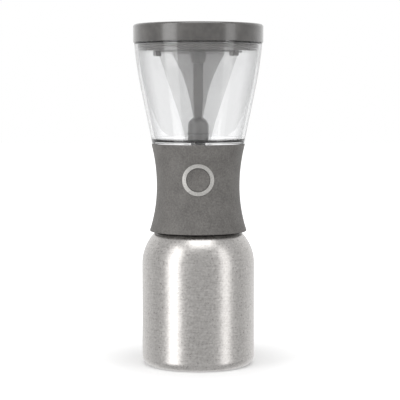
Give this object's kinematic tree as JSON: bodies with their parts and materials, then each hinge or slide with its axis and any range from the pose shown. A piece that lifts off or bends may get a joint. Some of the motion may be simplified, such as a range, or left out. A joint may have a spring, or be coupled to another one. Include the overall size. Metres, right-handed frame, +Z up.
{
  "type": "cold brew coffee maker",
  "caption": "Tall cold brew coffee maker: clear flared brewing chamber with a cone filter and round lid, waisted grip collar with a ringed release button, and a steel vacuum carafe",
  "frame": {"origin": "middle of the carafe's base, on the surface it stands on", "axes": "+Z up along the axis of the body, -Y to the front where the button faces, +X to the right seen from the front"},
  "size_m": [0.123, 0.123, 0.3225],
  "materials": {
    "brushed_steel": "brushed",
    "soft_grip": "matte",
    "dark_plastic": "satin",
    "clear_plastic": "gloss",
    "silicone": "matte",
    "satin_metal": "satin",
    "steel_mesh": "woven",
    "spring_steel": "bright"
  },
  "bodies": {
    "carafe": {"carafe_outer_shell": "brushed_steel", "carafe_inner_shell": "brushed_steel", "carafe_base_plate": "brushed_steel", "vacuum_seal_bead": "satin_metal", "vacuum_getter": "satin_metal"},
    "gasket": {"neck_gasket": "silicone"},
    "brewer": {"collar_core": "dark_plastic", "grip_sleeve": "soft_grip", "core_screws": "spring_steel", "button_bezel": "satin_metal", "brew_chamber": "clear_plastic", "chamber_seal": "silicone", "drain_standpipe": "dark_plastic", "drain_gasket": "silicone", "drain_nut": "dark_plastic", "stem_guide": "dark_plastic", "drain_o_ring": "silicone", "button_seal": "silicone", "lever_pin": "spring_steel"},
    "button": {"button_cap": "soft_grip", "button_stem": "dark_plastic", "button_clip": "spring_steel", "button_spring": "spring_steel"},
    "lever": {"release_lever": "dark_plastic"},
    "valve": {"valve_stem": "dark_plastic", "valve_seal": "silicone", "valve_foot": "dark_plastic", "valve_spring": "spring_steel"},
    "lid": {"lid_cap": "dark_plastic", "lid_plug": "dark_plastic", "lid_gasket": "silicone", "filter_hub": "dark_plastic", "filter_cone": "steel_mesh", "filter_screen": "steel_mesh", "filter_rim": "dark_plastic", "rim_clips": "dark_plastic", "filter_stem": "dark_plastic", "filter_foot": "dark_plastic"}
  },
  "joints": [
    {"name": "brewer_lift", "type": "slide", "parent": "carafe", "child": "gasket", "axis": [0, 0, 1], "range_m": [0, 0.06]},
    {"name": "brewer_turn", "type": "hinge", "parent": "gasket", "child": "brewer", "pos_m": [0, 0, 0.1584], "axis": [0, 0, 1], "range_deg": [0, 540]},
    {"name": "button_press", "type": "slide", "parent": "brewer", "child": "button", "axis": [0, 1, 0], "range_m": [0, 0.004], "stiffness_N_per_m": 400, "springref_m": -0.006, "deforming": ["button_spring"]},
    {"name": "lever_swing", "type": "hinge", "parent": "brewer", "child": "lever", "pos_m": [0, -0.014, 0.19], "axis": [1, 0, 0], "range_deg": [0, 18.6]},
    {"name": "valve_rise", "type": "slide", "parent": "brewer", "child": "valve", "axis": [0, 0, 1], "range_m": [0, 0.0046], "stiffness_N_per_m": 250, "springref_m": -0.006, "deforming": ["valve_spring"]},
    {"name": "lid_lift", "type": "slide", "parent": "brewer", "child": "lid", "axis": [0, 0, 1], "range_m": [0, 0.11]}
  ],
  "couplings": [
    {"joint": "lever_swing", "follows": "button_press", "rad_per_m": 80.645},
    {"joint": "valve_rise", "follows": "button_press", "ratio": 1.129}
  ]
}
